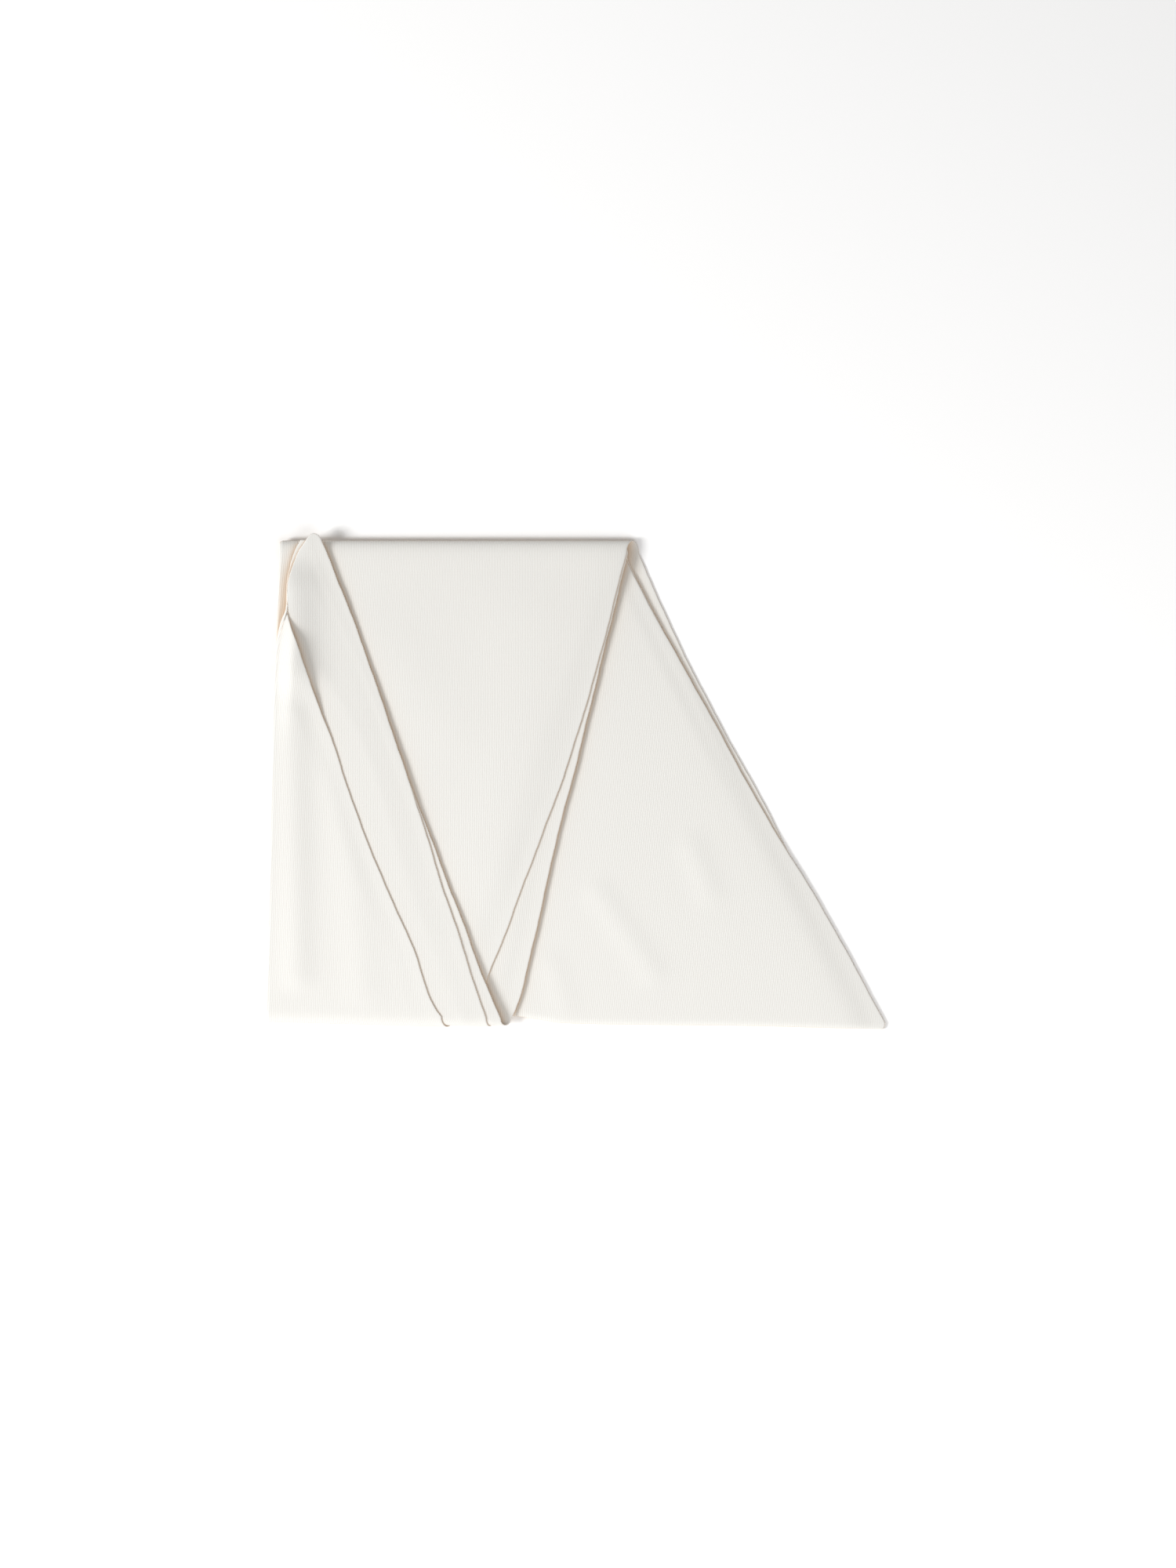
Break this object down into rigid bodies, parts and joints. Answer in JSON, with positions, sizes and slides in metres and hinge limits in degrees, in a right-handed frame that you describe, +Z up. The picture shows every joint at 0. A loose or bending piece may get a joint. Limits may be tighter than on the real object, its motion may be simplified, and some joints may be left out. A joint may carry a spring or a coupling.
{
  "type": "arm sling",
  "caption": "Triangular arm sling of fine ribbed knit cloth with hemmed edges, folded flat into a trapezoid bundle that unfolds in passes.",
  "frame": {"origin": "centre of the folded outline, on the surface that the sling lies on", "axes": "+Z up, out of the surface; +Y towards the top fold; +X along the long bottom edge, from the lengthwise fold to the pointed corner"},
  "size_m": [0.3299, 0.264, 0.0117],
  "materials": {
    "cloth": "matt fine ribbed cotton knit",
    "hem": "matt fuzzy overlocked edge"
  },
  "bodies": {
    "back_pass": {"back_ply_1": "cloth", "back_ply_2": "cloth", "back_ply_3": "cloth", "back_ply_4": "cloth", "back_hem_1": "hem", "back_hem_2": "hem", "back_hem_3": "hem", "back_hem_4": "hem", "back_side_fold_upper": "cloth", "back_side_fold_lower": "cloth", "back_end_fold_inner": "cloth", "back_end_fold_outer": "cloth"},
    "middle_pass": {"middle_ply_1": "cloth", "middle_ply_2": "cloth", "middle_ply_3": "cloth", "middle_ply_4": "cloth", "middle_hem_1": "hem", "middle_hem_2": "hem", "middle_hem_3": "hem", "middle_hem_4": "hem", "middle_side_fold_upper": "cloth", "middle_side_fold_lower": "cloth"},
    "front_pass": {"front_ply_1": "cloth", "front_ply_2": "cloth", "front_ply_3": "cloth", "front_ply_4": "cloth", "front_hem_1": "hem", "front_hem_2": "hem", "front_hem_3": "hem", "front_hem_4": "hem", "front_side_fold_upper": "cloth", "front_side_fold_lower": "cloth"}
  },
  "joints": [
    {"name": "top_fold", "type": "hinge", "parent": "back_pass", "child": "middle_pass", "pos_m": [0, 0.12415, 0.00385], "axis": [-1, 0, 0], "range_deg": [0, 180]},
    {"name": "bottom_fold", "type": "hinge", "parent": "middle_pass", "child": "front_pass", "pos_m": [0, -0.12815, 0.00785], "axis": [1, 0, 0], "range_deg": [0, 180]}
  ]
}
